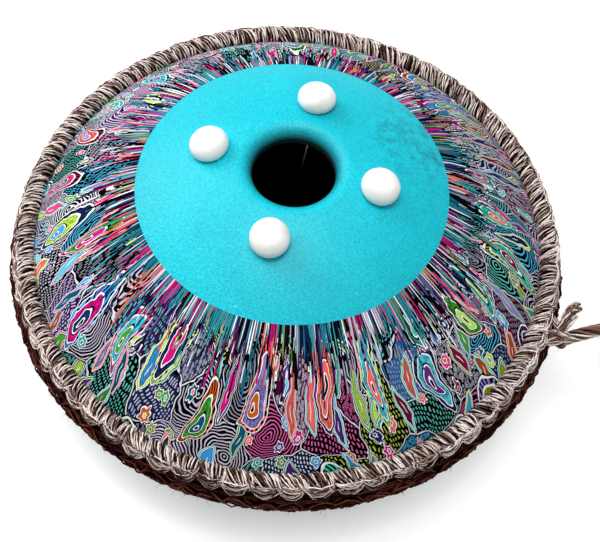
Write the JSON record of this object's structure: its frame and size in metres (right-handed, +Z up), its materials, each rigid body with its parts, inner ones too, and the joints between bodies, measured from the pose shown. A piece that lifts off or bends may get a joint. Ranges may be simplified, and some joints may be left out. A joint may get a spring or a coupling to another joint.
{
  "type": "steel tongue drum",
  "caption": "Round steel tongue drum of two domed shells, with a corded rim, a rolled port and four feet on its underside; it lies on its playing side.",
  "frame": {"origin": "on the floor, at the middle of the flat crown that the drum lies on", "axes": "+Z up, out of the port; the four feet stand on the X and Y axes, and the cord is tied off near +X"},
  "size_m": [0.6126, 0.532, 0.2436],
  "materials": {
    "enamelled_steel": "teal stoving enamel, fine orange peel",
    "printed_film": "printed vinyl film, many-coloured line pattern on black",
    "pale_cord": "taupe cotton cord, hitched",
    "dark_cord": "red-brown cotton cord, hitched",
    "core_cord": "laid cotton cord",
    "silicone": "white silicone, smooth",
    "foot_adhesive": "clear adhesive foam",
    "flange_adhesive": "cured adhesive"
  },
  "bodies": {
    "root": {"tongue_shell": "enamelled_steel", "port_shell": "enamelled_steel", "flange_seal": "flange_adhesive", "port_print_film": "printed_film", "tongue_print_film": "printed_film", "upper_core_cord": "core_cord", "lower_core_cord": "core_cord", "upper_rim_wrap": "pale_cord", "lower_rim_wrap": "dark_cord", "tie_knot": "pale_cord", "long_tail": "pale_cord", "long_tail_knot": "pale_cord", "short_tail": "pale_cord", "right_foot": "silicone", "right_foot_pad": "foot_adhesive", "back_foot": "silicone", "back_foot_pad": "foot_adhesive", "left_foot": "silicone", "left_foot_pad": "foot_adhesive", "front_foot": "silicone", "front_foot_pad": "foot_adhesive"}
  },
  "joints": []
}
